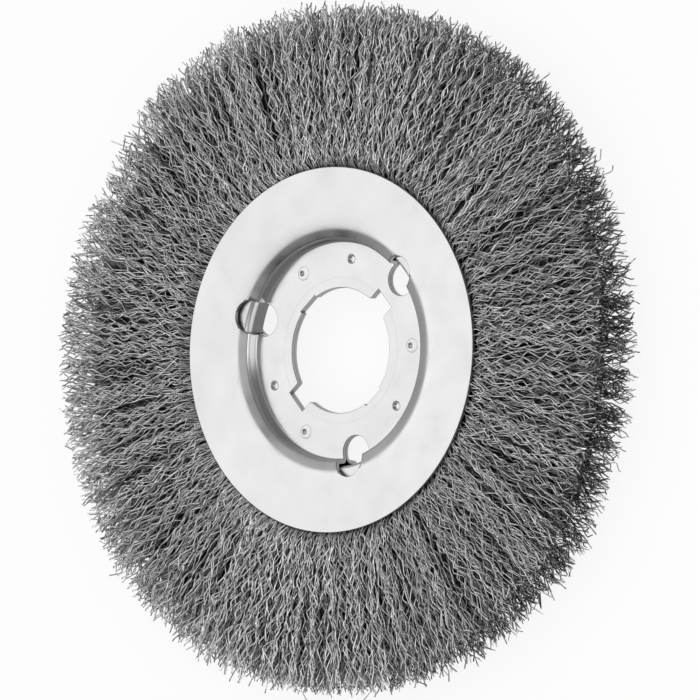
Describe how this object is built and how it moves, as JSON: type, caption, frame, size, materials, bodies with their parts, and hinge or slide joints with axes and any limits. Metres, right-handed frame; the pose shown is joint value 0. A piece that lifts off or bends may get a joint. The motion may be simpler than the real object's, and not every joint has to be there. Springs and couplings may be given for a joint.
{
  "type": "wire wheel brush",
  "caption": "Wire wheel brush: crimped steel wires folded into a channel ring between two pressed steel side plates, with a keyed arbor bore.",
  "frame": {"origin": "the centre of the arbor bore, midway between the two side plates", "axes": "+Z runs along the bore out of the front side plate, and +X runs along a deep keyway"},
  "size_m": [0.1779, 0.1789, 0.0159],
  "materials": {
    "plate_steel": "satin",
    "channel_steel": "satin",
    "hoop_steel": "satin",
    "wire_steel": "satin"
  },
  "bodies": {
    "root": {"front_side_plate": "plate_steel", "rear_side_plate": "plate_steel", "channel_ring": "channel_steel", "retaining_hoop": "hoop_steel", "wire_bundle_01": "wire_steel", "wire_bundle_02": "wire_steel", "wire_bundle_03": "wire_steel", "wire_bundle_04": "wire_steel", "wire_bundle_05": "wire_steel", "wire_bundle_06": "wire_steel", "wire_bundle_07": "wire_steel", "wire_bundle_08": "wire_steel", "wire_bundle_09": "wire_steel", "wire_bundle_10": "wire_steel", "wire_bundle_11": "wire_steel", "wire_bundle_12": "wire_steel", "wire_bundle_13": "wire_steel", "wire_bundle_14": "wire_steel", "wire_bundle_15": "wire_steel", "wire_bundle_16": "wire_steel", "wire_bundle_17": "wire_steel", "wire_bundle_18": "wire_steel", "wire_bundle_19": "wire_steel", "wire_bundle_20": "wire_steel", "wire_bundle_21": "wire_steel", "wire_bundle_22": "wire_steel", "wire_bundle_23": "wire_steel", "wire_bundle_24": "wire_steel", "wire_bundle_25": "wire_steel", "wire_bundle_26": "wire_steel"}
  },
  "joints": []
}
